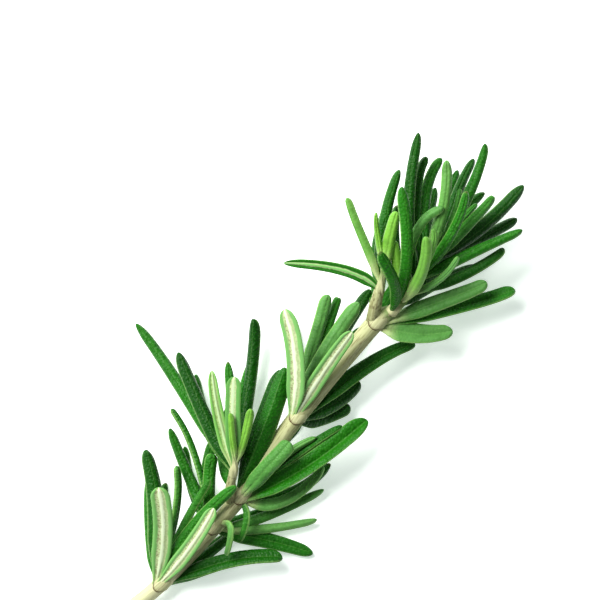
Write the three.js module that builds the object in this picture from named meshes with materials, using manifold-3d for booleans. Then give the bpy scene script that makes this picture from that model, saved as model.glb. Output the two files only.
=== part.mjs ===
// A sprig of rosemary as cut, lying on a table: one branched woody stem with a tuft of narrow leaves at
// each of its nodes, two side shoots, and a dense leafy tip.
//
// Lengths are millimetres. The sprig is described as it lies, in a frame with X to the right, Y away
// and Z up from the table, and the whole of it is then turned about Z, so that the stem runs along +Y,
// and moved, so that the origin is at the bottom centre of the sprig.
import * as THREE from "three";
import { mergeVertices } from "three/addons/utils/BufferGeometryUtils.js";
import Module from "manifold-3d";

const wasm = await Module();
wasm.setup();

// How the sprig is turned and moved from the frame it is described in.
const TURN_DEG = 40;
const CENTRE_X = 55.51;
const CENTRE_Y = 44.67;

// The gap that leaves keep to the wood of the stem, so that each is a solid of its own.
const BARK_GAP = 0.3;
// A tuft's leaves grow from a sleeve of leaf bases, this much thicker than the wood that it wraps.
const SLEEVE_WALL = 0.95;
const SLEEVE_HALF_LENGTH = 1.5;
// It is thinner by this much at each end.
const SLEEVE_END_LOSS = 0.15;
// A leaf's root is this far below the face of its core.
const ROOT_DEPTH = 0.55;
// The bark bulges by this much at a node, over this length.
const NODE_SWELLING = 0.15;
const NODE_LENGTH = 1.8;
// A young stem is nearly square: its four ridges stand out by this share of its radius.
const STEM_RIDGE = 0.05;
// How many sides the wood and the cores have, and how many rings there are along the wood.
const STEM_SIDES = 10;
const STEM_RINGS = 41;
const STALK_SIDES = 8;
const STALK_RINGS = 5;
const CORE_SIDES = 10;

// The block of table that is cut away from whatever would hang below it.
const TABLE_WIDTH = 300;
const TABLE_DEPTH = 20;

const LEAF_THICKNESS = 1.15;
// Where the leaf narrows it keeps this much of its thickness for each share of its width, up to all of
// it.
const LEAF_THINNING = 1.5;
// Half of a leaf's width at its root, as a share of half of its full width, and where it reaches full
// width.
const LEAF_ROOT_SHARE = 0.45;
const LEAF_FULL_WIDTH_AT = 0.35;
// The blunt tip is half an ellipse that starts here.
const LEAF_TIP_FROM = 0.7;
const LEAF_TIP_REACH = 0.305;
// Rings along the leaf, close together where the tip rounds off.
const LEAF_RINGS = [0, 0.2, 0.45, 0.7, 0.9, 1];
// The section of a leaf, as shares of half its width and of its thickness: a groove down the middle of
// the upper face, a shoulder each side, margins rolled down, and the midrib standing out underneath.
const LEAF_SECTION = [
  [0, 0.26],
  [0.58, 0.5],
  [1, -0.12],
  [0.52, -0.26],
  [0, -0.5],
  [-0.52, -0.26],
  [-1, -0.12],
  [-0.58, 0.5],
];

// The main stem from its cut end to where the green tip begins: x, y, z of its centre and its radius.
const STEM_ROUTE = [
  [20.0, -6.0, 1.5, 1.55],
  [25.6, -2.4, 2.3, 1.5],
  [32.0, 2.8, 3.9, 1.5],
  [38.2, 9.2, 5.2, 1.45],
  [42.8, 14.4, 6.3, 1.5],
  [48.0, 20.6, 7.5, 1.6],
  [53.4, 28.4, 8.6, 1.65],
  [59.4, 36.6, 9.4, 1.7],
  [67.0, 46.0, 10.2, 1.7],
  [75.2, 55.6, 11.0, 1.75],
  [78.2, 58.0, 12.0, 1.2],
];
// Where the nodes are, as places in the route.
const NODES_ON_ROUTE = [2, 4, 5, 7, 9];
// The two side shoots' stalks, which grow out of the stem: x, y, z and radius.
const SIDE_STALK = [
  [46.4, 19.0, 7.2, 1.1],
  [46.1, 22.4, 10.0, 0.95],
  [46.9, 26.2, 12.5, 0.8],
];
const SHORT_STALK = [
  [74.4, 55.8, 11.2, 1.2],
  [75.0, 59.0, 13.6, 1.2],
  [75.9, 62.6, 15.4, 0.95],
];

// Each tuft of leaves: its name, what its core follows, and its leaves. A core is a row of x, y, z and
// radius, or the place of a node in the stem's route. A leaf is: how far along the core its root is (0
// to 1), a point of its midrib halfway, its tip, its width, and how far it is rolled about its midrib,
// from 0 with its upper face to the sky to 180 with its underside to the sky.
const TUFTS = [
  {
    name: "leaves_first_node",
    node: 2,
    leaves: [
      [0.3, [31.2, 18.0, 6.0], [29.1, 30.0, 7.5], 4.0, 15],
      [0.2, [32.6, 14.0, 9.6], [32.0, 22.8, 15.0], 4.0, 194],
      [0.3, [35.2, 18.0, 4.6], [35.0, 26.6, 7.0], 2.8, 75],
      [0.2, [38.4, 11.2, 10.0], [42.8, 18.6, 12.6], 3.3, 192],
      [0.4, [39.0, 14.9, 8.6], [47.4, 22.8, 13.2], 3.0, 5],
      [0.4, [37.4, 16.6, 7.4], [42.0, 24.2, 11.6], 2.0, -40],
      [1.0, [45.7, 7.3, 5.0], [56.5, 8.2, 4.4], 3.4, -15],
      [0.5, [41.6, 9.0, 2.8], [46.4, 12.8, 3.4], 2.4, 0],
      [0.5, [31.4, 13.0, 1.4], [33.0, 23.0, 0.25], 3.0, 0],
      [0.5, [39.6, 8.0, 0.9], [48.6, 14.0, 0.25], 3.0, 0],
      [0.4, [30.0, 12.6, 3.6], [29.6, 24.4, 2.8], 2.6, 10],
      [0.5, [42.4, 6.2, 1.4], [52.0, 8.2, 0.25], 2.8, 0],
    ],
  },
  {
    name: "leaves_second_node",
    node: 4,
    leaves: [
      [0.4, [38.0, 24.0, 3.8], [33.8, 34.2, 4.8], 2.6, 20],
      [0.5, [39.0, 28.8, 4.8], [34.2, 38.2, 5.6], 1.6, 65],
      [0.6, [41.8, 23.0, 7.4], [42.6, 29.2, 8.6], 2.6, 15],
      [1.0, [46.2, 14.2, 10.0], [45.1, 8.9, 7.4], 1.7, 60],
      [0.5, [53.6, 16.8, 3.4], [64.8, 21.8, 3.0], 2.4, -25],
      [0.5, [52.6, 14.0, 3.6], [63.4, 15.8, 2.2], 2.2, -10],
      [0.4, [52.4, 11.7, 2.6], [62.6, 8.7, 1.0], 3.7, -5],
      [0.5, [41.0, 22.6, 1.6], [42.6, 32.0, 0.25], 3.0, 0],
      [0.4, [38.4, 21.4, 1.6], [36.6, 30.4, 0.25], 2.4, 0],
      [0.5, [47.6, 15.4, 1.6], [56.8, 19.0, 0.25], 2.8, 0],
    ],
  },
  {
    name: "leaves_third_node",
    node: 5,
    leaves: [
      [0.5, [52.5, 33.9, 11.8], [57.0, 46.6, 11.9], 4.6, -12],
      [0.3, [53.8, 27.0, 12.6], [58.0, 31.8, 14.0], 3.4, 10],
      [0.6, [56.8, 28.8, 9.6], [63.2, 32.6, 9.2], 1.8, 0],
      [0.6, [59.4, 29.0, 8.4], [68.6, 34.6, 8.4], 2.4, -40],
      [0.4, [61.0, 26.4, 8.6], [73.6, 35.8, 7.6], 4.1, -15],
      [0.4, [56.6, 19.6, 5.6], [64.8, 26.6, 5.0], 2.8, -20],
      [0.3, [49.2, 16.0, 8.0], [47.6, 11.4, 6.6], 1.6, 80],
      [0.7, [51.7, 33.6, 9.9], [56.3, 46.0, 9.8], 3.8, -12],
      [0.5, [57.4, 26.0, 1.8], [66.0, 31.6, 0.25], 3.0, 0],
      [0.5, [58.0, 21.0, 4.4], [66.2, 27.0, 3.6], 2.8, 0],
      [0.5, [44.6, 29.2, 4.4], [46.6, 40.0, 2.4], 2.8, 0],
      [0.5, [53.0, 27.6, 1.4], [60.4, 35.0, 0.25], 2.8, 0],
    ],
  },
  {
    name: "leaves_side_shoot",
    core: [
      [46.5, 24.6, 11.5, 1.75],
      [46.9, 26.4, 12.7, 1.75],
      [47.2, 28.4, 13.6, 1.2],
      [47.2, 30.4, 14.6, 0.7],
    ],
    leaves: [
      [0.3, [41.0, 37.0, 11.6], [35.8, 49.6, 11.0], 3.2, 15],
      [0.2, [36.6, 41.8, 8.4], [27.0, 55.2, 6.4], 2.8, 20],
      [0.3, [44.0, 36.0, 14.6], [42.6, 46.0, 16.4], 2.8, 200],
      [0.4, [46.8, 36.0, 15.6], [47.0, 44.8, 17.4], 3.2, 172],
      [0.45, [48.8, 32.4, 15.2], [50.4, 38.4, 16.8], 1.8, 0],
      [0.05, [49.4, 42.0, 5.2], [50.6, 56.2, 7.0], 2.8, -15],
      [0.55, [46.6, 32.2, 16.4], [46.0, 37.6, 17.6], 1.5, 0],
      [0.2, [40.6, 36.0, 6.4], [37.2, 46.4, 4.4], 2.6, 10],
      [0.2, [46.6, 36.6, 7.2], [45.6, 47.6, 4.6], 2.6, 0],
      [0.2, [47.6, 37.0, 5.6], [50.4, 48.0, 3.4], 2.2, 0],
      [0.2, [41.4, 35.2, 3.4], [39.0, 45.0, 0.25], 2.6, 0],
    ],
  },
  {
    name: "leaves_fourth_node",
    node: 7,
    leaves: [
      [0.2, [59.2, 47.0, 15.6], [57.0, 58.2, 19.0], 4.0, 162],
      [0.2, [64.7, 46.1, 14.8], [70.3, 53.8, 17.6], 3.6, 200],
      [0.6, [65.0, 49.6, 11.4], [71.8, 59.4, 12.2], 3.0, 10],
      [0.4, [62.8, 51.0, 9.6], [65.8, 61.0, 10.6], 2.8, 15],
      [0.4, [65.2, 53.6, 8.0], [67.8, 60.4, 8.2], 2.2, 0],
      [0.3, [67.4, 51.6, 5.8], [74.0, 62.2, 5.4], 3.0, 10],
      [0.4, [73.0, 46.2, 6.4], [83.2, 51.0, 4.8], 3.6, -15],
      [0.4, [67.4, 39.6, 5.4], [72.0, 43.6, 3.8], 3.2, -10],
      [0.3, [64.8, 36.6, 4.4], [70.0, 38.8, 3.2], 3.6, -10],
      [0.3, [59.2, 46.0, 4.4], [57.8, 56.6, 1.8], 3.0, 10],
      [0.4, [65.6, 45.6, 1.6], [72.2, 54.4, 0.25], 3.0, 0],
      [0.3, [68.4, 43.4, 1.6], [76.8, 48.2, 0.25], 3.0, 0],
      [0.4, [62.2, 46.0, 2.0], [64.4, 56.4, 0.25], 2.8, 0],
    ],
  },
  {
    name: "leaves_short_shoot",
    core: [
      [75.4, 60.8, 14.5, 1.9],
      [75.9, 62.6, 15.4, 1.9],
      [76.4, 64.8, 16.4, 1.2],
      [76.8, 66.8, 17.2, 0.7],
    ],
    leaves: [
      [0.4, [72.2, 72.0, 17.6], [69.2, 80.2, 18.6], 2.0, -30],
      [0.8, [75.4, 72.6, 18.4], [75.0, 77.2, 20.0], 1.4, 0],
      [0.3, [76.8, 75.6, 15.6], [79.8, 85.8, 16.0], 2.6, 10],
      [0.7, [77.6, 71.8, 18.2], [79.2, 77.4, 19.4], 2.8, 0],
      [0.2, [69.4, 65.7, 15.4], [56.8, 67.3, 13.4], 2.6, 165],
      [0.2, [75.4, 71.4, 12.0], [78.4, 81.4, 11.4], 2.4, 0],
    ],
  },
  {
    name: "leaves_fifth_node",
    node: 9,
    leaves: [
      [0.4, [83.2, 53.1, 9.0], [90.6, 53.8, 8.2], 4.8, -20],
      [0.5, [92.0, 58.5, 7.4], [103.2, 62.0, 6.2], 3.4, -20],
      [0.7, [89.0, 60.0, 11.0], [97.3, 63.5, 11.4], 3.6, -10],
      [0.3, [84.2, 57.4, 2.4], [93.6, 59.4, 0.25], 3.0, 0],
      [0.3, [80.4, 64.6, 2.4], [85.6, 74.0, 0.25], 3.0, 0],
      [0.3, [76.2, 65.0, 2.8], [77.4, 75.4, 0.25], 3.0, 10],
      [0.4, [80.6, 60.4, 1.8], [90.0, 66.0, 0.25], 3.0, 0],
    ],
  },
  {
    name: "leafy_tip",
    core: [
      [77.5, 57.0, 12.2, 2.15],
      [80.7, 60.4, 12.8, 2.0],
      [85.0, 67.2, 13.8, 1.5],
      [89.4, 72.6, 15.0, 0.9],
    ],
    leaves: [
      [0.05, [79.2, 62.6, 19.4], [75.6, 69.4, 23.6], 2.6, 20],
      [0.15, [81.4, 68.4, 19.8], [79.8, 82.2, 24.0], 2.6, 20],
      [0.5, [81.6, 79.0, 15.4], [83.4, 93.2, 16.0], 2.6, 10],
      [0.6, [83.2, 81.0, 12.6], [85.4, 88.4, 12.8], 2.2, 10],
      [0.7, [85.0, 80.4, 10.6], [88.4, 88.2, 10.4], 2.6, 10],
      [0.3, [82.8, 73.4, 18.2], [88.4, 78.0, 20.0], 2.0, 0],
      [0.6, [88.0, 77.0, 18.6], [89.0, 87.6, 20.0], 2.2, 10],
      [0.9, [91.2, 80.8, 12.6], [94.6, 88.2, 12.0], 2.4, 0],
      [0.8, [93.3, 80.8, 15.2], [96.8, 91.0, 16.0], 2.6, 10],
      [0.5, [90.0, 73.0, 19.2], [92.6, 81.4, 22.6], 2.2, 0],
      [0.6, [93.4, 75.0, 17.0], [98.0, 80.5, 19.6], 2.4, -10],
      [0.7, [95.6, 73.8, 12.6], [104.6, 82.8, 12.2], 3.2, 35],
      [0.7, [95.6, 72.0, 9.4], [103.4, 76.4, 8.0], 2.6, 25],
      [0.5, [94.2, 69.6, 14.4], [104.2, 73.8, 14.8], 2.6, -10],
      [0.4, [93.0, 65.4, 11.8], [100.6, 70.4, 11.6], 2.6, -10],
      [0.35, [87.6, 64.0, 17.4], [91.3, 68.4, 20.6], 1.5, 0],
      [0.4, [85.8, 69.4, 19.8], [86.2, 74.0, 22.6], 1.7, 0],
      [0.25, [83.6, 64.8, 19.6], [84.6, 72.4, 25.0], 2.5, -10],
      [0.3, [79.0, 67.4, 15.6], [78.6, 71.8, 16.8], 2.4, 0],
      [0.9, [90.6, 77.4, 16.6], [91.6, 82.0, 17.6], 1.6, 0],
      [0.9, [92.0, 75.8, 16.0], [95.0, 79.2, 16.6], 1.6, 0],
      [0.3, [87.6, 66.4, 7.6], [94.8, 72.0, 4.2], 2.8, 0],
      [0.5, [85.0, 74.0, 7.6], [87.4, 82.6, 4.6], 2.8, 0],
      [0.6, [90.4, 75.0, 8.8], [97.0, 81.6, 6.2], 2.6, 0],
      [0.4, [79.3, 68.6, 9.4], [79.5, 79.0, 6.4], 2.8, 10],
      [0.5, [90.2, 70.4, 6.4], [98.8, 75.2, 3.0], 2.8, 0],
      [0.3, [83.6, 69.4, 6.6], [84.4, 79.6, 3.2], 2.6, 10],
      [0.7, [88.4, 78.0, 9.8], [91.6, 86.0, 7.8], 2.4, 0],
      [0.2, [86.4, 62.8, 7.4], [95.2, 67.2, 3.6], 2.6, 0],
    ],
  },
];

function finish(color, roughness) {
  return new THREE.MeshStandardMaterial({ color, roughness, metalness: 0, flatShading: true });
}

const bark = finish(0xb3a27c, 0.8);
const leafGreen = finish(0x3f7a35, 0.55);
const youngGreen = finish(0x6fa24f, 0.55);
const YOUNG_TUFTS = ["leaves_short_shoot", "leafy_tip"];

// A closed geometry made from a cylinder of as many sides and steps: ringPoint(ring, side) places each
// point of its wall and middle(ring) the centre of each end.
function loft(sides, rings, ringPoint, middle) {
  const cylinder = new THREE.CylinderGeometry(1, 1, 1, sides, rings - 1);
  cylinder.deleteAttribute("normal");
  cylinder.deleteAttribute("uv");
  const geometry = mergeVertices(cylinder, 1e-4);
  const position = geometry.getAttribute("position");
  const point = new THREE.Vector3();
  for (let i = 0; i < position.count; i++) {
    point.fromBufferAttribute(position, i);
    const ring = Math.round((point.y + 0.5) * (rings - 1));
    const side = Math.round((Math.atan2(point.x, point.z) / (2 * Math.PI)) * sides + sides) % sides;
    const placed = Math.hypot(point.x, point.z) < 0.5 ? middle(ring) : ringPoint(ring, side);
    position.setXYZ(i, placed.x, placed.y, placed.z);
  }
  return geometry;
}

// The directions across and above a path with this tangent, rolled about it.
function frameAt(tangent, rollDeg) {
  const sky = new THREE.Vector3(0, 0, 1);
  const above = sky.addScaledVector(tangent, -sky.dot(tangent)).normalize();
  above.applyAxisAngle(tangent, THREE.MathUtils.degToRad(rollDeg));
  return { across: new THREE.Vector3().crossVectors(tangent, above), above };
}

// A leaf from its root through the middle of its midrib to its tip.
function leafGeometry(root, halfway, tip, width, rollDeg) {
  const control = halfway.clone().multiplyScalar(2).addScaledVector(root, -0.5).addScaledVector(tip, -0.5);
  const midrib = new THREE.QuadraticBezierCurve3(root, control, tip);
  const halfWidthAt = (t) => {
    const swell = THREE.MathUtils.smoothstep(t, 0, LEAF_FULL_WIDTH_AT);
    const full = LEAF_ROOT_SHARE + (1 - LEAF_ROOT_SHARE) * swell;
    const past = Math.max(0, t - LEAF_TIP_FROM) / LEAF_TIP_REACH;
    return (width / 2) * full * Math.sqrt(1 - past * past);
  };
  const ringPoint = (ring, side) => {
    const t = LEAF_RINGS[ring];
    const { across, above } = frameAt(midrib.getTangent(t), rollDeg);
    const [shareAcross, shareAbove] = LEAF_SECTION[side];
    const thickness = LEAF_THICKNESS * Math.min(1, (LEAF_THINNING * halfWidthAt(t)) / (width / 2));
    return midrib
      .getPoint(t)
      .addScaledVector(across, shareAcross * halfWidthAt(t))
      .addScaledVector(above, shareAbove * thickness);
  };
  const middle = (ring) => midrib.getPoint(LEAF_RINGS[ring]);
  return loft(LEAF_SECTION.length, LEAF_RINGS.length, ringPoint, middle);
}

// A round stem along rows of x, y, z and radius. thicker is added to the radius all along.
function stemGeometry(rows, sides, rings, thicker, swellings) {
  const path = new THREE.CatmullRomCurve3(rows.map(([x, y, z]) => new THREE.Vector3(x, y, z)));
  const radiusAt = (t) => {
    const place = t * (rows.length - 1);
    const before = Math.min(Math.floor(place), rows.length - 2);
    const bare = THREE.MathUtils.lerp(rows[before][3], rows[before + 1][3], place - before);
    const here = path.getPoint(t);
    const swollen = swellings.map((node) => Math.exp(-((here.distanceTo(node) / NODE_LENGTH) ** 2)));
    return bare + thicker + NODE_SWELLING * swollen.reduce((sum, share) => sum + share, 0);
  };
  const ringPoint = (ring, side) => {
    const t = ring / (rings - 1);
    const angle = (side / sides) * 2 * Math.PI;
    const { across, above } = frameAt(path.getTangent(t), 0);
    const radius = radiusAt(t) * (1 + STEM_RIDGE * Math.cos(4 * angle));
    return path
      .getPoint(t)
      .addScaledVector(across, radius * Math.sin(angle))
      .addScaledVector(above, radius * Math.cos(angle));
  };
  return loft(sides, rings, ringPoint, (ring) => path.getPoint(ring / (rings - 1)));
}

function solidFrom(geometry) {
  return new wasm.Manifold(
    new wasm.Mesh({
      numProp: 3,
      vertProperties: geometry.getAttribute("position").array,
      triVerts: new Uint32Array(geometry.index.array),
    }),
  );
}

function joined(solids) {
  return solids.reduce((whole, solid) => whole.add(solid));
}

function meshFrom(name, solid, material) {
  const { vertProperties, triVerts } = solid.getMesh();
  const geometry = new THREE.BufferGeometry();
  geometry.setAttribute("position", new THREE.BufferAttribute(new Float32Array(vertProperties), 3));
  geometry.setIndex(new THREE.BufferAttribute(new Uint32Array(triVerts), 1));
  geometry.computeVertexNormals();
  const mesh = new THREE.Mesh(geometry, material);
  mesh.name = name;
  return mesh;
}

// What would hang below the table: what the sprig's weight presses flat.
function belowTable() {
  const slab = new THREE.BoxGeometry(TABLE_WIDTH, TABLE_WIDTH, TABLE_DEPTH);
  slab.translate(CENTRE_X, CENTRE_Y, -TABLE_DEPTH / 2);
  slab.deleteAttribute("normal");
  slab.deleteAttribute("uv");
  return solidFrom(mergeVertices(slab));
}

// The branched wood, its radius thickened all over by this much.
function wood(thicker) {
  const nodes = NODES_ON_ROUTE.map((place) => new THREE.Vector3(...STEM_ROUTE[place]));
  return joined([
    solidFrom(stemGeometry(STEM_ROUTE, STEM_SIDES, STEM_RINGS, thicker, nodes)),
    solidFrom(stemGeometry(SIDE_STALK, STALK_SIDES, STALK_RINGS, thicker, [])),
    solidFrom(stemGeometry(SHORT_STALK, STALK_SIDES, STALK_RINGS, thicker, [])),
  ]);
}

// The core of a tuft: its own, or a sleeve round the stem at a node.
function coreOf(tuft) {
  if (tuft.core) return tuft.core;
  const route = new THREE.CatmullRomCurve3(STEM_ROUTE.map(([x, y, z]) => new THREE.Vector3(x, y, z)));
  const share = tuft.node / (STEM_ROUTE.length - 1);
  const middle = route.getPoint(share);
  const along = route.getTangent(share);
  const radius = STEM_ROUTE[tuft.node][3] + NODE_SWELLING + SLEEVE_WALL;
  return [-1, 0, 1].map((end) => [
    ...middle.clone().addScaledVector(along, end * SLEEVE_HALF_LENGTH).toArray(),
    radius - SLEEVE_END_LOSS * Math.abs(end),
  ]);
}

// One tuft: its core with every leaf's root sunk into it.
function tuftSolid(tuft) {
  const core = coreOf(tuft);
  const axis = new THREE.CatmullRomCurve3(core.map(([x, y, z]) => new THREE.Vector3(x, y, z)));
  const leaves = tuft.leaves.map(([place, halfwayAt, tipAt, width, rollDeg]) => {
    const halfway = new THREE.Vector3(...halfwayAt);
    const onAxis = axis.getPoint(place);
    const along = axis.getTangent(place);
    const outward = halfway.clone().sub(onAxis);
    outward.addScaledVector(along, -outward.dot(along)).normalize();
    const spot = place * (core.length - 1);
    const before = Math.min(Math.floor(spot), core.length - 2);
    const radius = THREE.MathUtils.lerp(core[before][3], core[before + 1][3], spot - before);
    const root = onAxis.addScaledVector(outward, Math.max(0, radius - ROOT_DEPTH));
    return solidFrom(leafGeometry(root, halfway, new THREE.Vector3(...tipAt), width, rollDeg));
  });
  return joined([solidFrom(stemGeometry(core, CORE_SIDES, core.length + 1, 0, [])), ...leaves]);
}

const sprig = new THREE.Group();
const lying = new THREE.Group();
lying.rotation.z = THREE.MathUtils.degToRad(TURN_DEG);
lying.position.set(-CENTRE_X, -CENTRE_Y, 0).applyAxisAngle(new THREE.Vector3(0, 0, 1), lying.rotation.z);
sprig.add(lying);

const table = belowTable();
const clearOfBark = wood(BARK_GAP);
lying.add(meshFrom("branched_stem", wood(0).subtract(table), bark));
for (const tuft of TUFTS) {
  const colour = YOUNG_TUFTS.includes(tuft.name) ? youngGreen : leafGreen;
  lying.add(meshFrom(tuft.name, tuftSolid(tuft).subtract(clearOfBark).subtract(table), colour));
}

export default sprig;
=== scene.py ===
# %% [markdown]
# # A sprig of rosemary, lying as it was cut
#
# This lesson builds one branched sprig of rosemary, about 12 cm long: a woody stem, tufts of narrow
# leathery leaves at its nodes, two side shoots and a dense leafy tip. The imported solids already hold
# every piece at its true place and size. Here each piece gets the fine shape and the finish that the
# real one has, and the solids stay underneath as the frame that everything is fitted to.
#
# Every leaf has the same plan, so one leaf is modelled with care, and a Geometry Nodes tree bends a
# copy of it along each leaf's own curve. The stem is a swept tube with the ridges and scars of bark.

# %% Load the frame
import math

import bpy
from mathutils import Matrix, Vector, noise


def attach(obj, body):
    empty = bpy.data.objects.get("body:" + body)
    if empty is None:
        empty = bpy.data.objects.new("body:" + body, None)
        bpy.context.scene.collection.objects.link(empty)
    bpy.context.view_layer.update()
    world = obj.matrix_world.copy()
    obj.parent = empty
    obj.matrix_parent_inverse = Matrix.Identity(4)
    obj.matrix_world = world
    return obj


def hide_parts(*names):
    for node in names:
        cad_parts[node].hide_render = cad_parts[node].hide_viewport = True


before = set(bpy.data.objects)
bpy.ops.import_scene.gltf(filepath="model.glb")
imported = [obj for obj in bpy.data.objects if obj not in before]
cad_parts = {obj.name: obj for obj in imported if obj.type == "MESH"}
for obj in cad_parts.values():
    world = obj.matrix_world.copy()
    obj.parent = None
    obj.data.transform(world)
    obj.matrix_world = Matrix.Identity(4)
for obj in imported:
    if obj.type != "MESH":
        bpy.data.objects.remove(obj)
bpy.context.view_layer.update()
print("solids:", sorted(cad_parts))

# %% [markdown]
# ## Where the sprig lies
#
# A sprig is easiest to describe as it lies on the table, in millimetres, with X to the right and Y away
# from the viewer. The part's own frame has the stem along +Y and its origin at the bottom centre, so
# every point goes through one small function that turns it, moves it and makes it metres. Doing this in
# one place keeps the tables below readable, and a finished piece still has its object at the origin,
# with its place in its mesh.

# %% From the lying frame to the part's frame
MM = 0.001
TURN = math.radians(40)
CENTRE_X = 55.51
CENTRE_Y = 44.67


def placed(x, y, z):
    """A point of the lying sprig, in millimetres, as a point of the part's frame, in metres."""
    east, north = x - CENTRE_X, y - CENTRE_Y
    return Vector((
        (east * math.cos(TURN) - north * math.sin(TURN)) * MM,
        (east * math.sin(TURN) + north * math.cos(TURN)) * MM,
        z * MM,
    ))


print("middle of the lying frame is at", [round(v, 4) for v in placed(60, 60, 0)])

# %% [markdown]
# ## Camera, light and table
#
# The picture looks straight down on a white table, with a long lens, so there is next to no
# perspective. The light is a wide soft window at the upper left: it whitens the table and leaves soft
# shadows to the lower right. The table glows a little, as a light table does, so its shadows stay pale
# while those among the leaves are deep. The view transform is Standard, because it keeps the table
# white and the greens clean.

# %% Camera
PICTURE_WIDTH = 120.0
CAMERA_HEIGHT = 800.0
LOOK_AT = (60.0, 60.0, 9.0)
SENSOR = 36.0

camera_data = bpy.data.cameras.new("camera")
camera_data.sensor_width = SENSOR
camera_data.lens = SENSOR * CAMERA_HEIGHT / PICTURE_WIDTH
camera_data.clip_start = 0.01
camera_data.clip_end = 20.0
camera = bpy.data.objects.new("camera", camera_data)
camera.location = placed(LOOK_AT[0], LOOK_AT[1], LOOK_AT[2] + CAMERA_HEIGHT)
camera.rotation_euler = (0.0, 0.0, TURN)
bpy.context.scene.collection.objects.link(camera)
bpy.context.scene.camera = camera
print("lens of", camera_data.lens, "mm")

# %% Light
LIGHT_AIM = (60, 50, 5)
WINDOW_PLACE = (-290, 365, 560)
WINDOW_SIZE = 0.42
WINDOW_WATTS = 12.2
WINDOW_COLOUR = (1.0, 0.99, 0.96)

scene = bpy.context.scene
scene.view_settings.view_transform = "Standard"
scene.view_settings.look = "None"
scene.view_settings.exposure = 0.0

world = bpy.data.worlds.new("white studio")
world.use_nodes = True
world.node_tree.nodes["Background"].inputs["Color"].default_value = (0.95, 0.98, 1.0, 1.0)
world.node_tree.nodes["Background"].inputs["Strength"].default_value = 0.3
scene.world = world


def soft_light(name, place, size, watts, colour):
    """A square soft light that faces the middle of the sprig."""
    data = bpy.data.lights.new(name, "AREA")
    data.size = size
    data.energy = watts
    data.color = colour
    light = bpy.data.objects.new(name, data)
    light.location = placed(*place)
    towards = placed(*LIGHT_AIM) - light.location
    light.rotation_euler = towards.to_track_quat("-Z", "Y").to_euler()
    scene.collection.objects.link(light)


soft_light("window", WINDOW_PLACE, WINDOW_SIZE, WINDOW_WATTS, WINDOW_COLOUR)

# %% Table
TABLE_HALF = 1.5


def set_inputs(node, **values):
    """Sets a node's inputs by their names, with _ for a space."""
    for name, value in values.items():
        node.inputs[name.replace("_", " ")].default_value = value


table_mesh = bpy.data.meshes.new("table")
corners = [(-1, -1), (1, -1), (1, 1), (-1, 1)]
table_mesh.from_pydata([(x * TABLE_HALF, y * TABLE_HALF, 0.0) for x, y in corners], [], [(0, 1, 2, 3)])
table = bpy.data.objects.new("table", table_mesh)
scene.collection.objects.link(table)
table_white = bpy.data.materials.new("white table")
table_white.use_nodes = True
set_inputs(
    table_white.node_tree.nodes["Principled BSDF"],
    Base_Color=(0.915, 0.95, 0.935, 1.0),
    Roughness=0.6,
    Specular_IOR_Level=0.2,
    Emission_Color=(0.9, 1.0, 0.94, 1.0),
    Emission_Strength=0.46,
)
table_mesh.materials.append(table_white)

# %% [markdown]
# ## The routes and the leaves
#
# A real sprig has no formula for where each leaf goes, so the routes of the wood and the bend of each
# leaf are lists of given places. They are the same lists as the solids are made from. Three numbers
# are added to each leaf: its tone, from 0 for old and dark to 1 for young and yellow-green, its taper,
# the share of its width that it loses towards the tip, and its fold, which raises the margins like a V
# or, below 0, lowers them like a roof.

# %% The wood
# x, y, z and radius, in millimetres.
STEM_ROUTE = [
    (20.0, -6.0, 1.5, 1.55),
    (25.6, -2.4, 2.3, 1.5),
    (32.0, 2.8, 3.9, 1.5),
    (38.2, 9.2, 5.2, 1.45),
    (42.8, 14.4, 6.3, 1.5),
    (48.0, 20.6, 7.5, 1.6),
    (53.4, 28.4, 8.6, 1.65),
    (59.4, 36.6, 9.4, 1.7),
    (67.0, 46.0, 10.2, 1.7),
    (75.2, 55.6, 11.0, 1.75),
    (78.2, 58.0, 12.0, 1.2),
]
SIDE_STALK = [
    (46.4, 19.0, 7.2, 1.1),
    (46.1, 22.4, 10.0, 0.95),
    (46.9, 26.2, 12.5, 0.8),
]
SHORT_STALK = [
    (74.4, 55.8, 11.2, 1.2),
    (75.0, 59.0, 13.6, 1.2),
    (75.9, 62.6, 15.4, 0.95),
]
print("stem of", len(STEM_ROUTE), "places")

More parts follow.
